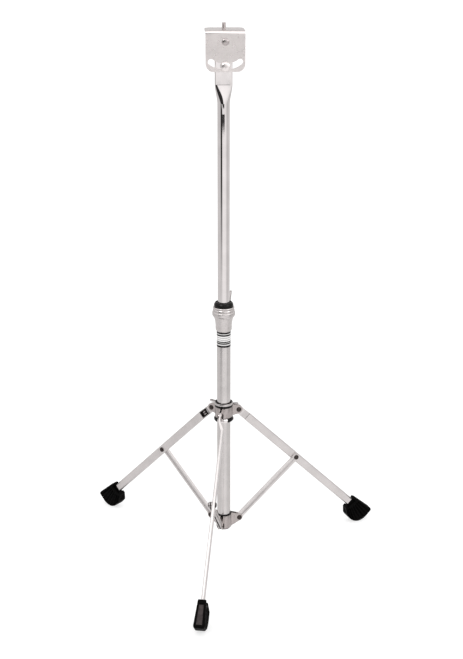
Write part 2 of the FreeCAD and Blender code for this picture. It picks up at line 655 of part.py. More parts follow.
def make_foot(name, azimuth):
    """Rubber foot: a fan that grows thicker from its neck to its round sole."""
    body = new_body(f"{name}_foot")
    neck = "neck_place"
    centre_x, centre_y = f"{neck} + sole_centre_reach", "sole_centre_rise"
    tip_run = "sqrt(sole_radius^2 - (foot_tip_rise - sole_centre_rise)^2)"
    heel_drop = "sqrt(sole_radius^2 - (sole_centre_reach - heel_reach)^2)"
    sketch = new_sketch(body, "XZ_Plane", "-leg_side")
    outline(sketch, [
        (neck, "neck_top"), (neck, "-neck_drop"),
        (f"{neck} + heel_reach", f"sole_centre_rise - {heel_drop}"),
        (f"{centre_x} + {tip_run}", "foot_tip_rise", centre_x, centre_y, 1)])
    pad(body, sketch, "foot_thick", "Symmetric")
    for side in ("1", "-1"):
        wedge = new_sketch(body, "XY_Plane")
        thin, thick = f"leg_side + {side} * neck_thick / 2", f"leg_side + {side} * foot_thick / 2"
        outline(wedge, [
            (f"{neck} - 1", thin), (f"{neck} + 2 * sole_centre_reach", f"{thick} + {side} * 0.2"),
            (f"{neck} + 2 * sole_centre_reach", f"{thick} + {side} * 4"),
            (f"{neck} - 1", f"{thick} + {side} * 4")])
        pocket(body, wedge, "foot_thick * 6")
    socket = new_sketch(body, "YZ_Plane", neck)
    near, far = "leg_side - leg_thick / 2 - touch_gap", "leg_side + leg_thick / 2 + touch_gap"
    half = "(leg_depth / 2 + touch_gap)"
    round_block(socket, f"({near})", f"-{half}", f"({far})", half, "leg_corner")
    pocket(body, socket, "socket_depth + touch_gap", "One side", True)
    body.Placement = leg_frame("hub_hinge_radius", "hub_hinge_height", 90 - DIMS["leg_lean"], azimuth)


def half_rivet(label, root, far, place, frame):
    """A dome rivet along local Y: its shank starts at root and its head sits past far."""
    body = new_body(label)
    sketch = new_sketch(body, "XZ_Plane")
    out = 1 if value(far) > value(root) else -1
    outline(sketch, [
        ("0", root), ("pin_radius", root), ("pin_radius", far), ("pin_head_radius", far),
        ("pin_head_radius", f"{far} + {out} * pin_head_rise * 0.4"),
        ("pin_head_radius * 0.6", f"{far} + {out} * pin_head_rise"),
        ("0", f"{far} + {out} * pin_head_rise")])
    turned(body, sketch)
    stand = FreeCAD.Placement(Vector(value(place), 0, 0), Rotation(Vector(1, 0, 0), -90))
    body.Placement = frame.multiply(stand)


def make_brace(name, azimuth):
    """Channel pressed from sheet: web on top, round ends about both pivots."""
    body = new_body(f"{name}_brace")
    half, end = "brace_depth / 2", "brace_end"
    flank = new_sketch(body, "XZ_Plane", "-brace_side")
    outline(flank, [
        ("0", half), (f"-{half}", "0", "0", "0", 1), ("0", f"-{half}", "0", "0", 1),
        ("brace_length", f"-{half}"), (f"brace_length + {half}", "0", "brace_length", "0", 1),
        ("brace_length", half, "brace_length", "0", 1)])
    pad(body, flank, "brace_width", "Symmetric")
    inside = new_sketch(body, "XY_Plane", f"{half} - brace_wall")
    near, far = "brace_side - brace_width / 2 + brace_wall", "brace_side + brace_width / 2 - brace_wall"
    block(inside, f"-{end} - 4", near, f"brace_length + {end} + 4", far)
    pocket(body, inside, "brace_depth * 2", "One side")
    for place, radius in (("0", "pin_hole"), ("brace_length", "pin_radius + touch_gap")):
        hole = new_sketch(body, "XZ_Plane")
        ring(hole, radius, place, "0")
        pocket(body, hole, "brace_depth * 2")
    frame = leg_frame("foot_hinge_radius", "foot_hinge_height", DIMS["brace_lean"] - 90, azimuth)
    body.Placement = frame
    half_rivet(f"{name}_brace_rivet", "brace_side + brace_width / 2",
               "brace_side - brace_width / 2 - touch_gap", "brace_length", frame)


def make_legs():
    for name, turn in LEGS.items():
        azimuth = FRONT_LEG_AZIMUTH + turn
        make_leg(name, azimuth)
        make_foot(name, azimuth)
        frame = leg_frame("hub_hinge_radius", "hub_hinge_height", 90 - DIMS["leg_lean"], azimuth)
        half_rivet(f"{name}_leg_rivet", "leg_side - leg_thick / 2",
                   "leg_side + leg_thick / 2 + touch_gap", "leg_joint", frame)
        make_brace(name, azimuth)


# ---- assembly --------------------------------------------------------------

def check_and_write():
    doc.recompute()
    for item in doc.Objects:
        if "Invalid" in item.State or "Error" in item.State:
            raise RuntimeError(f"{item.Label} failed: {item.State}")
    os.makedirs("parts", exist_ok=True)
    for node in NODES:
        if node.Shape.isNull() or not node.Shape.isValid():
            raise RuntimeError(f"{node.Label} has no valid shape")
        node.Shape.exportStep(f"parts/{node.Label}.step")
        box = node.Shape.BoundBox
        print(f"{node.Label:28s} {len(node.Shape.Solids)} solid(s) {node.Shape.Volume:9.0f} mm3"
              f"  z {box.ZMin:7.1f} to {box.ZMax:7.1f}")


make_base()
make_collar()
make_bushing()
make_lower_hub()
make_sliding_hub()
make_upper_tube()
make_tilt_joint()
make_bracket()
make_pad_bolt()
make_wing_bolt("collar_wing_bolt", "base_radius + 2 * touch_gap",
               COLLAR_BOLT_AZIMUTH, "collar_bolt_height", 0.0)
make_wing_bolt("hub_wing_bolt", "base_radius + slide_gap",
               HUB_BOLT_AZIMUTH, "hub_hinge_height", HUB_WING_TURN)
make_legs()
check_and_write()
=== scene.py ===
"""A folding practice pad stand on three legs, in a white studio. Metres, +Z up.

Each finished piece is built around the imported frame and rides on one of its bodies.
"""
import math

import bmesh
import bpy
from mathutils import Euler, Matrix, Vector


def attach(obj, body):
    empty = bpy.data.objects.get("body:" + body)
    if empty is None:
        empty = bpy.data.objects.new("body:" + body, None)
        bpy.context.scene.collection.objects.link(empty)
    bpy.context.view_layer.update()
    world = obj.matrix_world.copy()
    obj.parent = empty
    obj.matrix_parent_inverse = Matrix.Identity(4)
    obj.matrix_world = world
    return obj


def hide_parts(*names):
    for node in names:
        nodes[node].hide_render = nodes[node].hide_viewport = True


MM = 0.001

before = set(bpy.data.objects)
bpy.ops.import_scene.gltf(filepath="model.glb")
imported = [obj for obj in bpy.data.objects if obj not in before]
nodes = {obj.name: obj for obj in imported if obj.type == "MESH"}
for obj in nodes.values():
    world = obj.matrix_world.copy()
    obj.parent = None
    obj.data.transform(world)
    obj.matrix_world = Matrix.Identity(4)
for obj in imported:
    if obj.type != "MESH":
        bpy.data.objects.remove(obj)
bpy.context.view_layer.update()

# ---- the stand's sizes, in millimetres ---------------------------------------

# Heights are above the floor, and azimuths are degrees round Z from +X.
BASE_RADIUS, BASE_BOTTOM, BASE_TOP = 11.1, 41.5, 409.0
MAST_RADIUS, MAST_BOTTOM, TUBE_WALL = 9.525, 345.0, 1.2
FLATTEN_START, FLATTEN_END, FLAT_WIDTH, FLAT_THICK = 757.0, 785.0, 27.0, 5.0
TUBE_END = 844.8
CROWN = 1.6  # how flat the pressed faces are: 1 is an oval, more is flatter
COLLAR_BOLT_HEIGHT = 424.0
BUSHING_BOTTOM, BUSHING_TOP, BUSHING_RADIUS = 431.3, 441.0, 15.7
PIVOT_HEIGHT, ARC_RADIUS, BRACKET_SHIFT, STUD_SHIFT = 849.0, 36.8, 2.6, -1.6
STUD_PLACE, STUD_TOP, FLANGE_TOP, PLATE_THICK = 10.0, 876.0, 865.0, 3.0
HUB_HINGE = (25.2, 252.0)
FOOT_HINGE = (26.6, 52.7)
LEG_LEAN, LEG_JOINT, LEG_SIDE, LEG_THICK = 45.35, 150.6, 4.0, 5.0
BRACE_LEAN, BRACE_LENGTH, BRACE_SIDE, BRACE_WIDTH = 48.53, 141.12, -1.1, 4.6
NECK = 303.5
FRONT_AZIMUTH = -101.5
LEGS = {"front": FRONT_AZIMUTH, "right": FRONT_AZIMUTH + 120, "left": FRONT_AZIMUTH + 240}
COLLAR_BOLT_AZIMUTH, HUB_BOLT_AZIMUTH, HUB_WING_TURN = 70.0, 86.0, -82.0
# Along a wing screw, from the stand's axis: its cast hub, and the ends of the two shanks.
WING_HUB_START, WING_HUB_LENGTH = 27.6, 9.0
COLLAR_SCREW_TIP, HUB_SCREW_TIP = 11.3, 11.5
WING_ROOT, WING_REACH, WING_ROUND = 2.2, 24.6, 4.2
# Hinge pins, and the ears they join: how far the pair lies to the side, and its gap.
PIN_RADIUS, PIN_HEAD, PIN_RISE, PIN_SKIRT = 2.4, 4.2, 2.0, 0.5
HUB_EARS, FOOT_EARS, EAR_THICK = (-1.5, 2.8), (-1.1, 5.0), 1.6
CLEAR = 0.05  # between touching parts


# ---- materials ---------------------------------------------------------------

def new_material(name):
    material = bpy.data.materials.new(name)
    material.use_nodes = True
    tree = material.node_tree
    shader = tree.nodes["Principled BSDF"]
    return material, tree, shader


def add(tree, kind, **values):
    """A node with its properties set; a key that names a socket sets the socket."""
    node = tree.nodes.new(kind)
    for key, value in values.items():
        if key in node.inputs:
            node.inputs[key].default_value = value
        else:
            setattr(node, key, value)
    return node


def link(tree, out, into):
    tree.links.new(out, into)


def ramp(tree, source, stops, interpolation="LINEAR"):
    """A colour ramp over source; stops are (place, colour)."""
    node = tree.nodes.new("ShaderNodeValToRGB")
    node.color_ramp.interpolation = interpolation
    elements = node.color_ramp.elements
    while len(elements) < len(stops):
        elements.new(0.5)
    for element, (place, colour) in zip(elements, stops):
        element.position = place
        element.color = (*colour, 1.0)
    link(tree, source, node.inputs["Fac"])
    return node.outputs["Color"]


def scaled_coordinates(tree, scale):
    place = add(tree, "ShaderNodeTexCoord")
    mapping = add(tree, "ShaderNodeMapping")
    mapping.inputs["Scale"].default_value = scale
    link(tree, place.outputs["Object"], mapping.inputs["Vector"])
    return mapping.outputs["Vector"]


def noise(tree, scale, stretch=(1, 1, 1), detail=4.0):
    node = add(tree, "ShaderNodeTexNoise", Scale=scale, Detail=detail)
    link(tree, scaled_coordinates(tree, stretch), node.inputs["Vector"])
    return node.outputs["Fac"]


def bump(tree, shader, height, strength, distance):
    node = add(tree, "ShaderNodeBump", Strength=strength, Distance=distance)
    link(tree, height, node.inputs["Height"])
    link(tree, node.outputs["Normal"], shader.inputs["Normal"])


def uneven_gloss(tree, shader, scale, low, high):
    """Roughness that wanders between two values."""
    gloss = ramp(tree, noise(tree, scale), [(0.3, (low,) * 3), (0.7, (high,) * 3)])
    link(tree, gloss, shader.inputs["Roughness"])


def shade(colour, factor):
    return tuple(min(1.0, channel * factor) for channel in colour)


def metal(name, colour, rough, grain=None, spots=0.0, pits=0.0):
    """Plated metal: colour clouds, uneven gloss, and grain stretched as it was worked.

    grain is a noise stretch along the working direction; spots darkens small marks, and
    pits is how deep the cast skin is."""
    material, tree, shader = new_material(name)
    shader.inputs["Metallic"].default_value = 1.0
    cloud = noise(tree, 45.0, detail=5.0)
    tint = ramp(tree, cloud, [(0.30, shade(colour, 0.93)), (0.72, shade(colour, 1.05))])
    if spots:
        speck = noise(tree, 900.0, detail=2.0)
        speck_tint = ramp(tree, speck, [(0.30, shade(colour, 1 - spots)), (0.42, (1, 1, 1))])
        mixer = add(tree, "ShaderNodeMix", data_type="RGBA", blend_type="MULTIPLY")
        mixer.inputs[0].default_value = 0.5
        link(tree, tint, mixer.inputs[6])
        link(tree, speck_tint, mixer.inputs[7])
        tint = mixer.outputs[2]
    link(tree, tint, shader.inputs["Base Color"])
    smear = noise(tree, 120.0, detail=3.0)
    spread = 0.35 * rough
    gloss = add(tree, "ShaderNodeMapRange")
    gloss.inputs["To Min"].default_value = rough - spread
    gloss.inputs["To Max"].default_value = rough + spread
    link(tree, smear, gloss.inputs["Value"])
    link(tree, gloss.outputs["Result"], shader.inputs["Roughness"])
    if grain:
        bump(tree, shader, noise(tree, 1.0, grain, 3.0), 0.5, 0.01 * MM)
    elif pits:
        bump(tree, shader, noise(tree, 1400.0, detail=4.0), pits, 0.05 * MM)
    return material


def rubber_material(name, dark, pale, specular):
    """Moulded rubber: dust that gathers in clouds, over a fine matt skin."""
    material, tree, shader = new_material(name)
    dust = noise(tree, 160.0, detail=6.0)
    link(tree, ramp(tree, dust, [(0.35, dark), (0.75, pale)]), shader.inputs["Base Color"])
    uneven_gloss(tree, shader, 420.0, 0.42, 0.60)
    shader.inputs["Specular IOR Level"].default_value = specular
    bump(tree, shader, noise(tree, 2600.0, detail=3.0), 0.35, 0.05 * MM)
    return material


def plastic_material(name, colour, rough, specular=0.16):
    """Moulded black plastic, a little mottled, with a fine grain."""
    material, tree, shader = new_material(name)
    link(tree, ramp(tree, noise(tree, 220.0), [(0.3, shade(colour, 0.75)), (0.7, shade(colour, 1.3))]),
         shader.inputs["Base Color"])
    uneven_gloss(tree, shader, 700.0, rough * 0.8, rough * 1.2)
    shader.inputs["Specular IOR Level"].default_value = specular
    bump(tree, shader, noise(tree, 3000.0, detail=2.0), 0.2, 0.03 * MM)
    return material


# The striped film's ends, its tones, and the height where each stripe starts.
STRIPE_BOTTOM, STRIPE_TOP = 366.5, 392.0
BLACK, GREY, SILVER, WHITE = 0.004, 0.16, 0.60, 0.74
STRIPES = [
    (366.5, BLACK), (369.6, SILVER), (371.7, BLACK), (373.9, SILVER), (374.8, BLACK), (376.6, WHITE),
    (378.7, GREY), (379.5, WHITE), (382.3, GREY), (383.1, WHITE), (385.4, BLACK), (388.0, SILVER),
    (389.4, BLACK)]


def stripe_material():
    """White film with plain black and grey stripes round the tube, by height."""
    material, tree, shader = new_material("stripe_film")
    place = add(tree, "ShaderNodeTexCoord")
    split = add(tree, "ShaderNodeSeparateXYZ")
    link(tree, place.outputs["Object"], split.inputs["Vector"])
    height = add(tree, "ShaderNodeMapRange")
    height.inputs["From Min"].default_value = STRIPE_BOTTOM * MM
    height.inputs["From Max"].default_value = STRIPE_TOP * MM
    link(tree, split.outputs["Z"], height.inputs["Value"])
    bands = [((start - STRIPE_BOTTOM) / (STRIPE_TOP - STRIPE_BOTTOM), (level, level * 0.985, level * 0.98))
             for start, level in STRIPES]
    link(tree, ramp(tree, height.outputs["Result"], bands, "CONSTANT"), shader.inputs["Base Color"])
    uneven_gloss(tree, shader, 300.0, 0.22, 0.34)
    shader.inputs["Specular IOR Level"].default_value = 0.2
    bump(tree, shader, noise(tree, 1500.0), 0.1, 0.02 * MM)
    return material


MIRROR = metal("mirror_chrome", (0.80, 0.775, 0.775), 0.04)
TUBE_CHROME = metal("satin_chrome", (0.68, 0.66, 0.655), 0.22, grain=(30, 30, 2600))
PLATED = metal("plated_steel", (0.76, 0.735, 0.73), 0.34, grain=(400, 400, 1500), spots=0.15)
BRACKET_STEEL = metal("bracket_steel", (0.90, 0.86, 0.85), 0.30, spots=0.3, pits=0.25)
STAMPED = metal("stamped_steel", (0.50, 0.46, 0.45), 0.17, spots=0.3, pits=0.2)
FASTENER = metal("fastener_steel", (0.52, 0.485, 0.48), 0.18, spots=0.3, pits=0.2)
WING_METAL = metal("wing_metal", (0.50, 0.475, 0.47), 0.11, spots=0.2, pits=0.3)
DARK_RIVET = metal("rivet_steel", (0.065, 0.055, 0.052), 0.24, spots=0.5, pits=0.4)
COLLAR_CAST = metal("collar_casting", (0.66, 0.635, 0.63), 0.14, spots=0.2, pits=0.4)
STUD_STEEL = metal("stud_steel", (0.64, 0.60, 0.595), 0.20, spots=0.3, pits=0.2)
RING_CHROME = metal("ring_chrome", (0.62, 0.595, 0.59), 0.12, spots=0.2)
# Near-black steel that paints shade: the floor of each leg's mouth and the crease across each leg.
RECESS_PAINTED_SHADE = metal("recess_painted_shade", (0.035, 0.030, 0.030), 0.30, spots=0.4)
GLOSSY_NYLON = plastic_material("glossy_nylon", (0.004, 0.0035, 0.0035), 0.12, 0.17)
NYLON = plastic_material("black_nylon", (0.005, 0.0045, 0.0045), 0.22)
FILM = stripe_material()
RUBBER = rubber_material("moulded_rubber", (0.0004, 0.0003, 0.0003), (0.0012, 0.0010, 0.0010), 0.05)
# A lighter rubber laid on the foot's top band, between its rims.
RUBBER_PANEL = rubber_material("top_band_rubber", (0.040, 0.033, 0.033), (0.075, 0.062, 0.061), 0.10)


# ---- mesh helpers ------------------------------------------------------------

def smooth_piece(name, mesh, material, body, sharp=40.0, replaces=(), matrix=None):
    """Makes a finished piece of a bmesh: smooth shaded, riding on its body."""
    bmesh.ops.remove_doubles(mesh, verts=mesh.verts, dist=1e-7)
    bmesh.ops.recalc_face_normals(mesh, faces=mesh.faces)
    data = bpy.data.meshes.new(name)
    mesh.to_mesh(data)
    mesh.free()
    if matrix is not None:
        data.transform(matrix)
    data.materials.append(material)
    for face in data.polygons:
        face.use_smooth = True
    data.set_sharp_from_angle(angle=math.radians(sharp))
    piece = bpy.data.objects.new(name, data)
    bpy.context.scene.collection.objects.link(piece)
    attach(piece, body)
    if replaces:
        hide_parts(*replaces)
    return piece


def fillet_profile(points, steps=5):
    """Rounds the corners of a profile; points are (radius, height, fillet)."""
    out = []
    count = len(points)
    for i, (r, h, fillet) in enumerate(points):
        here = Vector((r, h))
        if fillet <= 0 or i in (0, count - 1):
            out.append((r, h))
            continue
        before = Vector(points[i - 1][:2]) - here
        after = Vector(points[i + 1][:2]) - here
        reach = min(fillet, before.length * 0.49, after.length * 0.49)
        start, end = here + before.normalized() * reach, here + after.normalized() * reach
        for k in range(steps + 1):
            t = k / steps
            spot = start * (1 - t) ** 2 + here * (2 * t * (1 - t)) + end * t ** 2
            out.append((spot.x, spot.y))
    return out


def smooth_step(t):
    t = min(1.0, max(0.0, t))
    return t * t * (3 - 2 * t)


def polar(radius, angle, height):
    """A point round local Z, in metres; the angle is in radians."""
    return Vector((radius * math.cos(angle), radius * math.sin(angle), height)) * MM


def loft(mesh, rings):
    """Joins closed rings of the same count, and closes the first and the last."""
    for low, high in zip(rings, rings[1:]):
        for k in range(len(low)):
            n = (k + 1) % len(low)
            mesh.faces.new((low[k], low[n], high[n], high[k]))
    mesh.faces.new(list(reversed(rings[0])))
    mesh.faces.new(rings[-1])


def lathe(mesh, profile, segments=72, matrix=None):
    """Adds a turned shape round local Z. A profile that starts and ends on the axis
    closes itself; any other is closed from its last point back to its first."""
    open_ends = profile[0][0] > 1e-6
    rings = []
    for r, h in profile:
        if r <= 1e-6:
            rings.append([mesh.verts.new((0, 0, h * MM))])
        else:
            rings.append([mesh.verts.new(polar(r, 2 * math.pi * k / segments, h)) for k in range(segments)])
    pairs = list(zip(rings, rings[1:]))
    if open_ends:
        pairs.append((rings[-1], rings[0]))
    for low, high in pairs:
        for k in range(segments):
            n = (k + 1) % segments
            corner = [low[k % len(low)], low[n % len(low)], high[n % len(high)], high[k % len(high)]]
            unique = list(dict.fromkeys(corner))
            if len(unique) > 2:
                mesh.faces.new(unique)
    if matrix is not None:
        bmesh.ops.transform(mesh, matrix=matrix, verts=[v for ring in rings for v in ring])


def turned_piece(name, profile, material, body, replaces=(), matrix=None, segments=72):
    mesh = bmesh.new()
    lathe(mesh, fillet_profile(profile), segments)
    return smooth_piece(name, mesh, material, body, 40.0, replaces, matrix)


def threaded_rod(mesh, radius, pitch, depth, start, end, segments=36, matrix=None, per_turn=10):
    """A rod along local Z with a helical thread between start and end, chamfered at the top."""
    chamfer, groove_share = 0.9, 0.8
    rows = int((end - start) / pitch * per_turn)
    rings = []
    for row in range(rows + 1):
        z = start + (end - start) * row / rows
        narrowing = 1 - min(1.0, (end - z) / chamfer)
        ring = []
        for k in range(segments):
            from_root = abs(2 * ((z / pitch - k / segments) % 1.0) - 1)
            groove = depth * max(0.0, 1 - from_root / groove_share)
            r = radius - groove - narrowing * depth * 1.1
            ring.append(mesh.verts.new(polar(r, 2 * math.pi * k / segments, z)))
        rings.append(ring)
    loft(mesh, rings)
    if matrix is not None:
        bmesh.ops.transform(mesh, matrix=matrix, verts=[v for ring in rings for v in ring])


def turn_z(degrees):
    return Matrix.Rotation(math.radians(degrees), 4, "Z")


def leg_matrix(hinge, lean, azimuth):
    """Local X runs outward along the piece, Y to its side, Z up and out."""
    place = Matrix.Translation((hinge[0] * MM, 0, hinge[1] * MM))
    return turn_z(azimuth) @ place @ Matrix.Rotation(math.radians(lean), 4, "Y")


def on_leg(azimuth):
    return leg_matrix(HUB_HINGE, 90 - LEG_LEAN, azimuth)


def screw_place(azimuth, height):
    """Local X points out from the stand's axis, at a height."""
    return turn_z(azimuth) @ Matrix.Translation((0, 0, height * MM))


def along_x():
    """Turns a shape made along local Z to lie along local X."""
    return Matrix.Rotation(math.radians(90), 4, "Y")


def finish_node(name, material, edge, segments=3):
    """Dresses a carried-over CAD node: material and rounded edges."""
    node = nodes[name]
    node.data.materials.clear()
    node.data.materials.append(material)
    weld = node.modifiers.new("weld", "WELD")
    weld.merge_threshold = 0.002 * MM
    bevel = node.modifiers.new("edges", "BEVEL")
    bevel.width = edge * MM
    bevel.segments = segments
    bevel.limit_method = "ANGLE"
    bevel.angle_limit = math.radians(32)
    bevel.harden_normals = True
    bevel.use_clamp_overlap = True


# ---- tubes -------------------------------------------------------------------

def build_base_tube():
    outer, inner = BASE_RADIUS, BASE_RADIUS - TUBE_WALL
    turned_piece("lower_tube", [
        (inner, BASE_BOTTOM, 0), (outer, BASE_BOTTOM, 0.4), (outer, 130, 0), (outer, 250, 0),
        (outer, BASE_TOP, 0.4), (inner, BASE_TOP, 0)],
        TUBE_CHROME, "base", ["base_tube"], segments=120)
    outer = BASE_RADIUS + 0.25
    turned_piece("stripes", [
        (BASE_RADIUS + 0.05, STRIPE_BOTTOM, 0), (outer, STRIPE_BOTTOM, 0.1), (outer, 381, 0),
        (outer, STRIPE_TOP, 0.1), (BASE_RADIUS + 0.05, STRIPE_TOP, 0)],
        FILM, "base", ["stripe_band"], segments=120)


def mast_section(height, steps=96):
    """Outline of the upper tube at a height, as points across and deep."""
    t = min(1.0, max(0.0, (height - FLATTEN_START) / (FLATTEN_END - FLATTEN_START)))
    ease = smooth_step(t)
    half = MAST_RADIUS + (FLAT_WIDTH / 2 - MAST_RADIUS) * (0.35 * t + 0.65 * ease)
    deep = MAST_RADIUS + (FLAT_THICK / 2 - MAST_RADIUS) * (0.7 * t + 0.3 * ease)
    straight = max(0.0, half - deep)
    points = []
    for k in range(steps):
        a = 2 * math.pi * k / steps
        spread = math.sin(0.5 * math.pi * min(1.0, max(-1.0, CROWN * math.cos(a))))
        points.append((deep * math.cos(a) + straight * spread, deep * math.sin(a)))
    return points


def build_upper_tube():
    """Round tube pressed flat at its top, hollow, with a half-round end."""
    inset, mouth, bore_drops = 0.2, TUBE_END + 12, (0.0, 14.0, 40.0)

    def end_height(x):
        """The tube's top edge at x across the flat."""
        return TUBE_END + math.sqrt(max(0.0, (FLAT_WIDTH / 2) ** 2 - x * x)) - inset

    shoulder = FLATTEN_END + 0.6
    round_rows, pressed_rows, flat_rows = 24, 28, 12
    heights = [MAST_BOTTOM + (FLATTEN_START - MAST_BOTTOM) * k / round_rows for k in range(round_rows)]
    heights += [FLATTEN_START + (FLATTEN_END - FLATTEN_START) * k / pressed_rows
                for k in range(pressed_rows + 1)]
    outlines = [[(x, y, z) for x, y in mast_section(z)] for z in heights + [shoulder]]
    flat = mast_section(FLATTEN_END)
    for row in range(1, flat_rows + 1):
        t = row / flat_rows
        outlines.append([(x, y, shoulder + (end_height(x) - shoulder) * t) for x, y in flat])
    narrowing = (FLAT_THICK / 2 - TUBE_WALL) / (FLAT_THICK / 2)
    for drop in bore_drops:
        outlines.append([
            (math.copysign(max(0.0, abs(x) - TUBE_WALL), x), y * narrowing,
             min(end_height(x), mouth) - drop) for x, y in flat])
    mesh = bmesh.new()
    loft(mesh, [[mesh.verts.new(Vector(point) * MM) for point in outline] for outline in outlines])
    smooth_piece("mast_tube", mesh, MIRROR, "mast", 28.0, ["upper_tube"])


# ---- collar and bushing ------------------------------------------------------

def build_collar():
    """Cast collar with its screw boss, the lip round the bushing, and the bushing."""
    mesh = bmesh.new()
    bore = BASE_RADIUS + 0.05
    lathe(mesh, fillet_profile([
        (bore, 393.0, 0), (12.0, 393.0, 0.2), (13.0, 394.6, 1.2), (13.2, 397.5, 2.0), (13.2, 403.0, 4.0),
        (14.1, 410.0, 5.0), (15.6, 415.6, 2.0), (17.2, 417.6, 0.5), (16.9, 418.3, 0.3), (18.3, 419.0, 0.6),
        (18.5, 420.2, 0.6), (18.5, 424.4, 0.9), (17.6, 425.5, 0.3), (16.9, 425.9, 0.3), (17.5, 426.6, 0.4),
        (17.4, 428.6, 1.0), (16.0, 430.8, 1.4), (bore, 431.0, 0)], 6), 96)
    boss = fillet_profile([
        (0, 14.5, 0), (8.6, 14.5, 0), (7.3, 19.0, 2.0), (6.9, 21.5, 1.0), (6.9, 26.9, 0.7),
        (3.4, 26.9, 0.3), (3.4, 22.0, 0), (0, 22.0, 0)])
    lathe(mesh, boss, 40, screw_place(COLLAR_BOLT_AZIMUTH, COLLAR_BOLT_HEIGHT) @ along_x())
    smooth_piece("collar_casting", mesh, COLLAR_CAST, "base", 42.0, ["height_collar"])
    turned_piece("collar_lip", [
        (15.0, 431.05, 0), (17.2, 431.05, 0.4), (17.3, 432.6, 0.6), (16.5, 433.7, 0.5), (15.1, 433.5, 0)],
        COLLAR_CAST, "base", segments=96)
    low, high, outer = BUSHING_BOTTOM, BUSHING_TOP, BUSHING_RADIUS
    inner = MAST_RADIUS + 0.3
    turned_piece("tube_bushing", [
        (inner, low - 18, 0), (10.8, low - 18, 0.2), (10.8, low, 0.2), (13.0, low, 0.6),
        (14.3, low + 1.8, 1.0), (15.2, low + 3.1, 1.0), (outer, low + 4.6, 1.2),
        (15.5, high - 3.4, 1.8), (13.9, high - 0.5, 1.4),
        (12.6, high, 0.6), (12.2, high - 1.3, 0.2), (11.1, high - 1.3, 0.2), (10.9, high - 0.5, 0.3),
        (inner, high - 0.6, 0)],
        GLOSSY_NYLON, "bushing", ["collar_bushing"], segments=96)


# ---- wing screws -------------------------------------------------------------

def wing_blade(mesh, hub_end, side, matrix):
    """One cast wing: a lens-shaped blade that widens to a round, thicker tip."""
    rows, around, least = 22, 20, 0.05
    root_depth, lean_from, lean_over, lean_out = 4.5, 3.0, 17.5, 6.0
    half_width, swell, half_thick, thinning = 3.7, 0.7, 1.6, 0.25
    rings = []
    for row in range(rows + 1):
        t = row / rows
        reach = WING_ROOT + (WING_REACH - WING_ROOT) * t
        lean = lean_out * max(0.0, (reach - lean_from) / lean_over) ** 1.15
        centre = hub_end - root_depth + lean
        tip = min(1.0, max(0.0, 1 - (WING_REACH - reach) / WING_ROUND))
        half = half_width + swell * math.sin(math.pi * min(1.0, t * 1.15)) ** 2
        half *= math.sqrt(1 - tip ** 2)
        thick = half_thick - thinning * math.sin(math.pi * min(1.0, t * 1.3))
        thick *= math.sqrt(1 - tip ** 4)
        ring = []
        for k in range(around):
            a = 2 * math.pi * k / around
            x = centre + max(half, least) * math.cos(a)
            y = max(thick, least) * math.copysign(abs(math.sin(a)) ** 0.75, math.sin(a))
            ring.append(mesh.verts.new(matrix @ (Vector((x, y, side * reach)) * MM)))
        rings.append(ring)
    loft(mesh, rings)


def build_wing_screw(name, node, body, matrix, tip):
    """A wing screw along local X: threaded shank, cast hub and two wings."""
    start, end = WING_HUB_START, WING_HUB_START + WING_HUB_LENGTH
    mesh = bmesh.new()
    hub = fillet_profile([
        (0, start, 0), (5.2, start, 0.5), (6.0, start + 1.6, 1.0), (5.6, start + 6.0, 2.0),
        (4.6, start + 8.4, 1.6), (2.0, end, 1.0), (0, end, 0)])
    lathe(mesh, hub, 40, matrix @ along_x())
    for side in (1, -1):
        wing_blade(mesh, end, side, matrix)
    smooth_piece(name, mesh, WING_METAL, body, 50.0)
    shank = bmesh.new()
    flip = Matrix.Translation(((start + tip) * MM, 0, 0)) @ turn_z(180)
    threaded_rod(shank, 2.95, 1.0, 0.5, tip, start + 0.4, 32, matrix @ flip @ along_x())
    smooth_piece(name + "_shank", shank, FASTENER, body, 60.0, [node])


# ---- pad bracket, bolts and rivets -------------------------------------------

def along_minus_y(x, height):
    """Turns a shape made along local Z to point at -Y, at a height on the mast."""
    return Matrix.Translation((x * MM, 0, height * MM)) @ Matrix.Rotation(math.radians(90), 4, "X")


def dome(radius, rise, base, skirt=0.7, points=7):
    """Profile of a dome head that stands on base; it ends on the axis."""
    out = [(radius, base), (radius, base + skirt)]
    for k in range(1, points):
        a = 0.5 * math.pi * k / points
        out.append((radius * math.cos(a) ** 0.9, base + skirt + (rise - skirt) * math.sin(a)))
    return out + [(0, base + rise)]


def build_bracket_parts():
    """Pivot rivet, carriage bolt, washer and wing nut, and the bolt that is the stud."""
    face = FLAT_THICK / 2
    front = face + 0.1 + PLATE_THICK + 0.1
    bolt_height = PIVOT_HEIGHT - ARC_RADIUS
    back_head = [(0, -face - 3.2)] + [(r, -h) for r, h in reversed(dome(5.65, 3.2, face + CLEAR)[:-1])]
    mesh = bmesh.new()
    lathe(mesh, back_head + [(3.0, -face), (3.0, front)] + dome(5.65, 3.2, front), 56)
    smooth_piece("pivot_rivet", mesh, FASTENER, "mast", 45.0, ["bracket_pivot_rivet"],
                 along_minus_y(BRACKET_SHIFT, PIVOT_HEIGHT))
    mesh = bmesh.new()
    lathe(mesh, [(0, 0.0), (3.1, 0.0), (3.1, front)] + dome(7.5, 3.6, front, 0.6, 9), 64)
    threaded_rod(mesh, 3.15, 1.27, 0.6, 0.0, face + 12.3, 36, Matrix.Rotation(math.pi, 4, "X"))
    smooth_piece("carriage_bolt", mesh, BRACKET_STEEL, "mast", 45.0, ["tilt_bolt"],
                 along_minus_y(BRACKET_SHIFT, bolt_height))
    turned_piece("bolt_washer", [
        (3.3, -face - 1.6, 0.1), (7.9, -face - 1.6, 0.35), (7.9, -face - CLEAR, 0.35),
        (3.3, -face - CLEAR, 0.1)],
        FASTENER, "mast", ["tilt_washer"], along_minus_y(BRACKET_SHIFT, bolt_height), 56)
    build_tilt_nut(face + 1.9, bolt_height)
    build_pad_bolt()


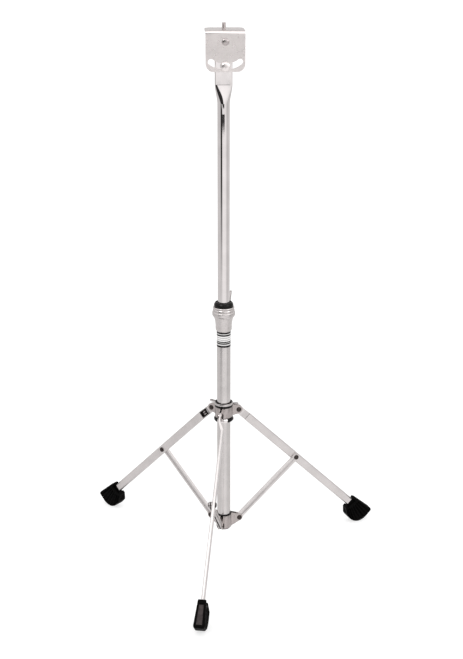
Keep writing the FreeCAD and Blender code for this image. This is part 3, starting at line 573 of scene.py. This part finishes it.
def build_tilt_nut(start, height):
    """Upright wing nut behind the tube, from start outwards along +Y."""
    matrix = Matrix.Translation((BRACKET_SHIFT * MM, 0, height * MM)) @ turn_z(90)
    end, bore = start + WING_HUB_LENGTH, 3.45
    mesh = bmesh.new()
    lathe(mesh, fillet_profile([
        (bore, start, 0.2), (5.6, start, 0.5), (6.0, start + 1.4, 0.8), (5.7, start + 6.4, 1.8),
        (4.9, end, 0.8), (bore, end, 0.2)]), 44, matrix @ along_x())
    for side in (1, -1):
        wing_blade_outside(mesh, end, side, matrix)
    smooth_piece("wing_nut", mesh, WING_METAL, "tilt_nut", 50.0, ["tilt_wing_nut"])


def wing_blade_outside(mesh, hub_end, side, matrix):
    """A wing that starts outside the nut's bore."""
    root = 4.4 * MM
    before = set(mesh.verts)
    wing_blade(mesh, hub_end, side, Matrix.Identity(4))
    for vert in mesh.verts:
        if vert in before:
            continue
        if abs(vert.co.z) < root:
            vert.co.z = side * root
        vert.co = matrix @ vert.co


def build_pad_bolt():
    """Hex bolt under the flange; its thread is the stud on top."""
    under = FLANGE_TOP - PLATE_THICK - CLEAR
    half_flats, corners = 5.55, 48
    mesh = bmesh.new()
    rings = []
    for z, r in ((under - 3.6, 5.4), (under - 3.1, 6.3), (under - 0.35, 6.4), (under, 5.5)):
        ring = []
        for k in range(corners):
            a = 2 * math.pi * k / corners
            flat = half_flats / math.cos((a + math.pi / 6) % (math.pi / 3) - math.pi / 6)
            ring.append(mesh.verts.new(polar(min(flat, r), a, z)))
        rings.append(ring)
    loft(mesh, rings)
    lathe(mesh, fillet_profile([
        (0, under - 0.2, 0), (3.8, under - 0.2, 0), (3.8, FLANGE_TOP - 0.3, 0), (3.5, FLANGE_TOP, 0),
        (0, FLANGE_TOP, 0)]), 48)
    threaded_rod(mesh, 3.15, 1.27, 0.55, FLANGE_TOP - 0.5, STUD_TOP, 40, per_turn=14)
    smooth_piece("pad_stud", mesh, STUD_STEEL, "bracket", 35.0, ["pad_bolt"],
                 Matrix.Translation(((BRACKET_SHIFT + STUD_SHIFT) * MM, STUD_PLACE * MM, 0)))


def hinge_pins(name, node, body, hinge, ears):
    """The three pins of a hub: a dome head on each side of the stamped ears."""
    side, gap = ears
    mesh = bmesh.new()
    reach = gap / 2 + EAR_THICK + CLEAR
    half = [(PIN_RADIUS, reach)] + dome(PIN_HEAD, PIN_RISE, reach, PIN_SKIRT)
    profile = [(0, -reach - PIN_RISE)] + [(r, -h) for r, h in reversed(half[:-1])] + half
    spin = Matrix.Translation((0, side * MM, 0)) @ Matrix.Rotation(math.radians(-90), 4, "X")
    for azimuth in LEGS.values():
        place = turn_z(azimuth) @ Matrix.Translation((hinge[0] * MM, 0, hinge[1] * MM))
        lathe(mesh, profile, 40, place @ spin)
    smooth_piece(name, mesh, DARK_RIVET, body, 45.0, [node])


def build_half_rivet(name, node, body, matrix, place, root, far):
    """A rivet half along local Y, from root to a dome head past far."""
    out = 1 if far > root else -1
    length = abs(far - root)
    profile = [(0, 0), (PIN_RADIUS, 0), (PIN_RADIUS, length)] + dome(PIN_HEAD, PIN_RISE, length, PIN_SKIRT)
    mesh = bmesh.new()
    spin = Matrix.Rotation(math.radians(-90 * out), 4, "X")
    lathe(mesh, profile, 40, matrix @ Matrix.Translation(Vector((place, root, 0)) * MM) @ spin)
    smooth_piece(name, mesh, DARK_RIVET, body, 45.0, [node])


def build_recess_shade(name, body, azimuth):
    """Pressed floor of the leg's open mouth with a raised middle, coloured near-black as painted shade, and
    a dark line across its crease, also painted shade.
    """
    path = [(13.8, -0.45), (17.5, 0.64), (21.2, 1.73), (25.0, 2.86), (27.4, 2.86), (29.7, 2.86)]
    across, half, margin, thin, rise = 16, 5.15, 4, 0.12, 0.9
    mesh = bmesh.new()
    sheets = []
    for top in (0, 1):
        sheet = []
        for x, y in path:
            row = []
            for k in range(across + 1):
                v = 2 * k / across - 1
                middle = smooth_step((0.62 - abs(v)) / 0.3)
                middle *= smooth_step((x - 14.5) / 4) * smooth_step((29.5 - x) / 3)
                row.append(mesh.verts.new(Vector((x, y + top * (thin + rise * middle), v * half)) * MM))
            sheet.append(row)
        sheets.append(sheet)
        for row, (low, high) in enumerate(zip(sheet, sheet[1:])):
            for k in range(across):
                face = mesh.faces.new((low[k], low[k + 1], high[k + 1], high[k]))
                # Rows 1 and 3 of the raised middle take plain steel, which is lighter than the painted
                # shade round them.
                face.material_index = int(row in (1, 3) and margin <= k < across - margin)
    rows = len(path) - 1
    border = [(0, k) for k in range(across)] + [(i, across) for i in range(rows)]
    border += [(rows, k) for k in range(across, 0, -1)] + [(i, 0) for i in range(rows, 0, -1)]
    for (i, j), (m, n) in zip(border, border[1:] + border[:1]):
        mesh.faces.new((sheets[0][i][j], sheets[0][m][n], sheets[1][m][n], sheets[1][i][j]))
    recess = smooth_piece(name, mesh, RECESS_PAINTED_SHADE, body, 50.0, matrix=on_leg(azimuth))
    recess.data.materials.append(FASTENER)
    # A thin dark rod along the bend: painted shade in the crease.
    crease_shade = bmesh.new()
    place = Matrix.Translation(Vector((25.0, LEG_SIDE - LEG_THICK / 2 + 0.2, 0)) * MM)
    lathe(crease_shade, fillet_profile([(0, -6.5, 0), (0.45, -6.3, 0.1), (0.45, 6.3, 0.1), (0, 6.5, 0)]), 16, place)
    smooth_piece(name + "_crease_shade", crease_shade, RECESS_PAINTED_SHADE, body, 50.0, matrix=on_leg(azimuth))


def build_hub_rings():
    """The sliding hub's two collars: a thin top ring over a black ring that is painted shade of the gap,
    and a round lower one.
    """
    turned_piece("hub_upper_ring", [
        (14.0, 265.0, 0), (15.3, 265.0, 0.3), (15.4, 267.0, 0.5), (15.0, 268.5, 0.5), (14.0, 268.2, 0)],
        RING_CHROME, "hub", ["hub_top_ring"], segments=96)
    # A black ring put in as painted shade of the gap under the top ring.
    turned_piece("hub_gap_shade_ring", [
        (14.0, 260.9, 0), (14.75, 260.9, 0.2), (14.75, 264.9, 0.2), (14.0, 264.9, 0)],
        NYLON, "hub", segments=96)
    turned_piece("hub_lower_ring", [
        (12.9, 236.0, 0), (15.0, 236.0, 0.8), (16.1, 238.2, 1.4), (16.0, 240.2, 1.4), (15.0, 241.6, 0.8),
        (14.7, 243.4, 0.4), (12.9, 243.4, 0)],
        GLOSSY_NYLON, "hub", ["hub_bottom_ring"], segments=96)


def swept_arc(mesh, profile, middle, half_angle, steps=24):
    """Adds a closed profile swept part of the way round local Z, with flat ends."""
    rings = []
    for k in range(steps + 1):
        a = math.radians(middle + half_angle * (2 * k / steps - 1))
        rings.append([mesh.verts.new(polar(r, a, h)) for r, h in profile])
    loft(mesh, rings)


def build_hub_lips():
    """Three chromed lips over the black lower ring, one under each leg."""
    mesh = bmesh.new()
    profile = fillet_profile([
        (15.6, 236.5, 0), (16.3, 236.3, 0.3), (16.6, 238.0, 0.8), (16.6, 239.8, 0.8), (15.7, 241.4, 0.6),
        (15.0, 242.6, 0.2), (14.7, 242.4, 0)], 4)
    for azimuth in LEGS.values():
        swept_arc(mesh, profile, azimuth, 31.0)
    smooth_piece("hub_lower_lips", mesh, MIRROR, "hub", 45.0)


def build_gap_shade_strips():
    """Black strips on the tube in the gaps between the lower hub's segments: painted shade of those gaps.
    """
    mesh = bmesh.new()
    for azimuth in LEGS.values():
        swept_arc(mesh, [(11.16, 42.0), (11.7, 42.0), (11.7, 60.9), (11.16, 60.9)], azimuth, 9.0, 6)
    smooth_piece("lower_hub_shade_strips", mesh, NYLON, "base")


def build_lower_gap_shade():
    """Black ring between the tube and the lower hub's top edge: painted shade of the hollow there."""
    inner = BASE_RADIUS + 0.05
    turned_piece("lower_hub_gap_shade", [
        (inner, 61.0, 0), (12.3, 61.0, 0.2), (12.9, 63.9, 0.3), (12.9, 64.9, 0.5), (11.9, 65.6, 0.4),
        (inner, 65.4, 0)], NYLON, "base", segments=96)


# ---- rubber feet -------------------------------------------------------------

# The foot's side view is a fan about a centre beyond its neck, in the leg's axes. The sole
# swells where it meets the floor and at its tip.
FAN_CENTRE, FAN_RADIUS, FAN_HEEL, FAN_TIP = (NECK + 17.3, 4.6), 27.2, -106.0, 22.9
CONTACT_SWELL, CONTACT_SPREAD, TIP_SWELL, TIP_SPREAD = 2.55, 52.0, 1.6, 22.0
CORNER_SHARE, CORNER_ROUND, NECK_ROUND = 0.09, 1.5, 2.4
NECK_LOW, NECK_HEIGHT, NECK_HALF, SOLE_HALF, RIBS = -14.2, 26.4, 6.5, 9.15, 7


def foot_outline(s, t):
    """Place in the fan: s runs from neck to sole, t from the low edge to the top edge."""
    angle = math.radians(FAN_HEEL) + (math.radians(FAN_TIP) - math.radians(FAN_HEEL)) * t
    off_contact = min(1.0, abs(angle + math.radians(LEG_LEAN)) / math.radians(CONTACT_SPREAD))
    corner = max(0.0, 1 - min(t, 1 - t) / CORNER_SHARE) ** 2
    radius = FAN_RADIUS + CONTACT_SWELL * math.cos(0.5 * math.pi * off_contact) ** 2
    radius += TIP_SWELL * smooth_step(angle / math.radians(TIP_SPREAD)) - CORNER_ROUND * corner
    sole = Vector(FAN_CENTRE) + Vector((math.cos(angle), math.sin(angle))) * radius
    neck = Vector((NECK + NECK_ROUND * corner, NECK_LOW + NECK_HEIGHT * t))
    return neck.lerp(sole, s)


def foot_half_thick(s, t):
    """Half thickness of the fan, with a rim round it and ribs that spread to the sole."""
    body = NECK_HALF + (SOLE_HALF - NECK_HALF) * min(1.0, s * 1.05)
    edge = min(t, 1 - t)
    rim = smooth_step(edge / 0.035)
    fan = smooth_step((edge - 0.065) / 0.03) * smooth_step((s - 0.21) / 0.05)
    fan *= smooth_step((0.95 - s) / 0.04)
    ribs = 0.5 - 0.5 * math.cos(2 * math.pi * (t - 0.1) / 0.8 * RIBS)
    depth = fan * (0.7 + 2.1 * (1 - ribs ** 0.5))
    sole_round = smooth_step((1 - s) / 0.06)
    lip_round = smooth_step(s / 0.03)
    return body * (0.76 + 0.24 * rim) * (0.80 + 0.20 * sole_round) * (0.88 + 0.12 * lip_round) - depth


def foot_notch(s, t):
    """How far the neck's lip is cut away about the leg, as a share of thickness."""
    inside = smooth_step((0.5 - abs(t - 0.53) - 0.19) / 0.03)
    return inside * smooth_step((0.18 - s) / 0.03)


def build_foot(name, node, body, azimuth):
    """Moulded rubber foot: a ribbed fan between rims, with a notched lip at its neck."""
    along, across = 40, 64
    mesh = bmesh.new()
    sheets = []
    for side in (1, -1):
        sheet = []
        for i in range(along + 1):
            row = []
            for j in range(across + 1):
                s, t = i / along, j / across
                spot = foot_outline(s, t)
                thick = foot_half_thick(s, t)
                thick += (LEG_THICK / 2 + 0.25 - thick) * foot_notch(s, t)
                row.append(mesh.verts.new(Vector((spot.x, LEG_SIDE + side * thick, spot.y)) * MM))
            sheet.append(row)
        sheets.append(sheet)
        for i in range(along):
            for j in range(across):
                mesh.faces.new((sheet[i][j], sheet[i + 1][j], sheet[i + 1][j + 1], sheet[i][j + 1]))
    wrap_sheets(mesh, sheets, along, across)
    foot = smooth_piece(name, mesh, RUBBER, body, 60.0, [node], on_leg(azimuth))
    # The top band between the rims takes the lighter rubber.
    foot.data.materials.append(RUBBER_PANEL)


def wrap_sheets(mesh, sheets, along, across):
    """Closes the foot's two faces with a band round all four edges. Along the top and
    the low edge the band is dished between the two rims."""
    border = [(i, across) for i in range(along + 1)]
    border += [(along, j) for j in range(across - 1, -1, -1)]
    border += [(i, 0) for i in range(along - 1, -1, -1)]
    border += [(0, j) for j in range(1, across)]
    steps = 12
    columns = []
    for i, j in border:
        left, right = sheets[0][i][j], sheets[1][i][j]
        edge = i / along
        side_edge = j in (0, across)
        reach = smooth_step((edge - 0.10) / 0.05) * smooth_step((0.95 - edge) / 0.04)
        inset = 1.6 * reach if side_edge else 0.0
        inward = Vector((0, 0, -1 if j == across else 1))
        outward = Vector((1, 0, 0)) if i == along else -inward
        swell = 0.0 if i == 0 else (0.15 if i == along else 0.5)
        column = [left]
        for k in range(1, steps):
            u = k / steps
            dish = smooth_step((min(u, 1 - u) - 0.13) / 0.08)
            spot = left.co.lerp(right.co, u) + inward * inset * dish * MM
            flat = 1 - dish if side_edge else 1
            spot = spot + outward * swell * math.sin(math.pi * u) ** 0.5 * MM * flat
            column.append(mesh.verts.new(spot))
        column.append(right)
        columns.append((column, j == across and 0.13 < edge < 0.94))
    for n, (column, panel) in enumerate(columns):
        other, next_panel = columns[(n + 1) % len(columns)]
        for k in range(steps):
            face = mesh.faces.new((column[k], column[k + 1], other[k + 1], other[k]))
            face.material_index = int(panel and next_panel and 2 <= k < steps - 2)


# ---- dressing the carried-over nodes -----------------------------------------

def dress_frame():
    finish_node("base_tube_plug", NYLON, 0.4)
    finish_node("pad_bracket", BRACKET_STEEL, 0.45, 3)
    finish_node("hub_liner", NYLON, 0.2)
    finish_node("hub_screw_boss", FASTENER, 0.4)
    for name in ("right", "back", "left"):
        finish_node(f"hub_segment_{name}", STAMPED, 0.3, 2)
        finish_node(f"lower_hub_segment_{name}", STAMPED, 0.3, 2)
    for name in LEGS:
        finish_node(f"{name}_leg", PLATED, 0.35, 2)
        finish_node(f"{name}_brace", PLATED, 0.35, 2)


def build_legs():
    for name, azimuth in LEGS.items():
        build_foot(f"{name}_rubber_foot", f"{name}_foot", f"{name}_leg_body", azimuth)
        # Painted shade in each leg's mouth and along its crease.
        build_recess_shade(f"{name}_leg_mouth_shade", f"{name}_leg_body", azimuth)
        build_half_rivet(f"{name}_leg_pin", f"{name}_leg_rivet", f"{name}_leg_body",
                         on_leg(azimuth), LEG_JOINT,
                         LEG_SIDE - LEG_THICK / 2, LEG_SIDE + LEG_THICK / 2 + CLEAR)
        brace = leg_matrix(FOOT_HINGE, BRACE_LEAN - 90, azimuth)
        build_half_rivet(f"{name}_brace_pin", f"{name}_brace_rivet", f"{name}_brace_body",
                         brace, BRACE_LENGTH,
                         BRACE_SIDE + BRACE_WIDTH / 2, BRACE_SIDE - BRACE_WIDTH / 2 - CLEAR)


# ---- studio ------------------------------------------------------------------

FLOOR_SIZE, FLOOR_DROP, FLOOR_GLOW = 30.0, 0.0006, 0.64  # metres, metres, emission


def build_floor():
    """Pale floor that glows enough to print white, and that mirrors don't see."""
    mesh = bmesh.new()
    bmesh.ops.create_grid(mesh, x_segments=8, y_segments=8, size=FLOOR_SIZE)
    data = bpy.data.meshes.new("floor")
    mesh.to_mesh(data)
    mesh.free()
    material, tree, shader = new_material("white_floor")
    tone = ramp(tree, noise(tree, 3.0), [(0.3, (0.44,) * 3), (0.7, (0.46,) * 3)])
    link(tree, tone, shader.inputs["Base Color"])
    shader.inputs["Roughness"].default_value = 0.9
    shader.inputs["Emission Color"].default_value = (1, 1, 1, 1)
    shader.inputs["Emission Strength"].default_value = FLOOR_GLOW
    data.materials.append(material)
    floor = bpy.data.objects.new("floor", data)
    floor.location.z = -FLOOR_DROP
    floor.visible_glossy = False
    bpy.context.scene.collection.objects.link(floor)


# Dark cards that only reflections see. Each has (from, to) round Z in degrees and its
# softness in radians, (from, to, softness) in the direction's Z, and how dark it is.
CARDS = (
    ((-150, -118, 0.09), (-0.26, -0.05, 0.06), 1.0),
    ((-140, -72, 0.05), (-0.172, -0.1415, 0.004), 1.0),
    ((-146, -94, 0.02), (-0.02, 0.44, 0.05), 1.0),
    ((-106, -80, 0.05), (-0.04, 0.08, 0.02), 1.0),
    ((60, 120, 0.1), (0.40, 0.75, 0.05), 0.95),
    ((-33, -18, 0.05), (-0.35, -0.02, 0.03), 0.25))
ROOM_LEVEL, CARD_DEPTH = 0.70, 0.97
ROOM_TINT, BACKDROP = (1.0, 0.975, 0.97, 1.0), (1.04, 1.04, 1.04, 1.0)


def build_world():
    """White backdrop. Reflections see a room instead: bright in front and overhead, greyer
    behind, with dark cards in it."""
    world = bpy.data.worlds.new("studio")
    bpy.context.scene.world = world
    world.use_nodes = True
    tree = world.node_tree
    background = tree.nodes["Background"]
    place = add(tree, "ShaderNodeTexCoord")
    split = add(tree, "ShaderNodeSeparateXYZ")
    link(tree, place.outputs["Generated"], split.inputs["Vector"])

    def math_node(operation, *values):
        node = add(tree, "ShaderNodeMath", operation=operation)
        for socket, value in zip(node.inputs, values):
            if isinstance(value, (int, float)):
                socket.default_value = value
            else:
                link(tree, value, socket)
        return node.outputs[0]

    def step(value, zero, one):
        node = add(tree, "ShaderNodeMapRange", interpolation_type="SMOOTHSTEP")
        node.inputs["From Min"].default_value = zero
        node.inputs["From Max"].default_value = one
        link(tree, value, node.inputs["Value"])
        return node.outputs["Result"]

    def band(value, low, high, soft):
        """1 from low to high, and 0 outside."""
        return math_node("MULTIPLY", step(value, low - soft, low + soft),
                         step(value, high + soft, high - soft))

    azimuth = math_node("ARCTAN2", split.outputs["Y"], split.outputs["X"])
    height = split.outputs["Z"]
    dark = 0.0
    for (start, end, turn_soft), (low, high, rise_soft), strength in CARDS:
        card = math_node("MULTIPLY", band(azimuth, math.radians(start), math.radians(end), turn_soft),
                         band(height, low, high, rise_soft))
        dark = math_node("MAXIMUM", dark, math_node("MULTIPLY", card, strength))
    front = band(azimuth, math.radians(-128), math.radians(-40), 0.45)
    below = math_node("MULTIPLY", band(height, -2.0, -0.32, 0.05), math_node("SUBTRACT", 1.0, front))
    overhead = band(height, 0.35, 2.0, 0.25)
    level = ROOM_LEVEL
    for part, gain in ((front, 0.30), (below, 0.12), (overhead, 0.35)):
        level = math_node("ADD", math_node("MULTIPLY", part, gain), level)
    uncovered = math_node("SUBTRACT", 1.0, math_node("MULTIPLY", dark, CARD_DEPTH))
    level = math_node("MULTIPLY", level, uncovered)
    room = add(tree, "ShaderNodeMix", data_type="RGBA", blend_type="MULTIPLY")
    room.inputs[0].default_value = 1.0
    link(tree, level, room.inputs[6])
    room.inputs[7].default_value = ROOM_TINT
    rays = add(tree, "ShaderNodeLightPath")
    mixer = add(tree, "ShaderNodeMix", data_type="RGBA")
    link(tree, rays.outputs["Is Glossy Ray"], mixer.inputs[0])
    mixer.inputs[6].default_value = BACKDROP
    link(tree, room.outputs[2], mixer.inputs[7])
    link(tree, mixer.outputs[2], background.inputs["Color"])
    background.inputs["Strength"].default_value = 1.0


LIGHTS = (  # name, place, size in metres, watts
    ("key_light", (-1.6, -1.9, 2.4), 1.4, 14.0),
    ("fill_light", (1.9, -1.4, 1.6), 1.6, 7.0))
LIGHT_TARGET = (0, 0, 0.4)


def build_lights():
    for name, place, size, power in LIGHTS:
        data = bpy.data.lights.new(name, "AREA")
        data.shape = "DISK"
        data.size = size
        data.energy = power
        light = bpy.data.objects.new(name, data)
        light.location = place
        light.rotation_euler = (Vector(LIGHT_TARGET) - Vector(place)).to_track_quat("-Z", "Y").to_euler()
        bpy.context.scene.collection.objects.link(light)


CAMERA_PLACE, CAMERA_LENS, CAMERA_SENSOR = (-0.0981, -1.8711, 1.0442), 67.14, 36.0
CAMERA_DIP, CAMERA_HEADING, CAMERA_ROLL = 19.14, -3.386, 0.1  # degrees


def build_camera():
    data = bpy.data.cameras.new("camera")
    data.lens = CAMERA_LENS
    data.sensor_width = CAMERA_SENSOR
    data.clip_start = 0.05
    data.clip_end = 100.0
    camera = bpy.data.objects.new("camera", data)
    camera.location = CAMERA_PLACE
    aim = Euler((math.radians(90 - CAMERA_DIP), 0.0, math.radians(CAMERA_HEADING))).to_matrix()
    camera.rotation_euler = (aim @ Matrix.Rotation(math.radians(CAMERA_ROLL), 3, "Z")).to_euler()
    bpy.context.scene.collection.objects.link(camera)
    bpy.context.scene.camera = camera


dress_frame()
build_base_tube()
build_upper_tube()
build_collar()
build_wing_screw("collar_screw", "collar_wing_bolt", "collar_bolt",
                 screw_place(COLLAR_BOLT_AZIMUTH, COLLAR_BOLT_HEIGHT), COLLAR_SCREW_TIP)
hub_wings = Matrix.Rotation(math.radians(HUB_WING_TURN), 4, "X")
build_wing_screw("hub_screw", "hub_wing_bolt", "hub_bolt",
                 screw_place(HUB_BOLT_AZIMUTH, HUB_HINGE[1]) @ hub_wings, HUB_SCREW_TIP)
build_bracket_parts()
hinge_pins("leg_hinge_pins", "leg_hinge_rivets", "hub", HUB_HINGE, HUB_EARS)
hinge_pins("brace_hinge_pins", "brace_hinge_rivets", "base", FOOT_HINGE, FOOT_EARS)
build_hub_rings()
build_hub_lips()
build_gap_shade_strips()
build_lower_gap_shade()
build_legs()
build_floor()
build_world()
build_lights()
build_camera()
bpy.context.scene.view_settings.view_transform = "Standard"
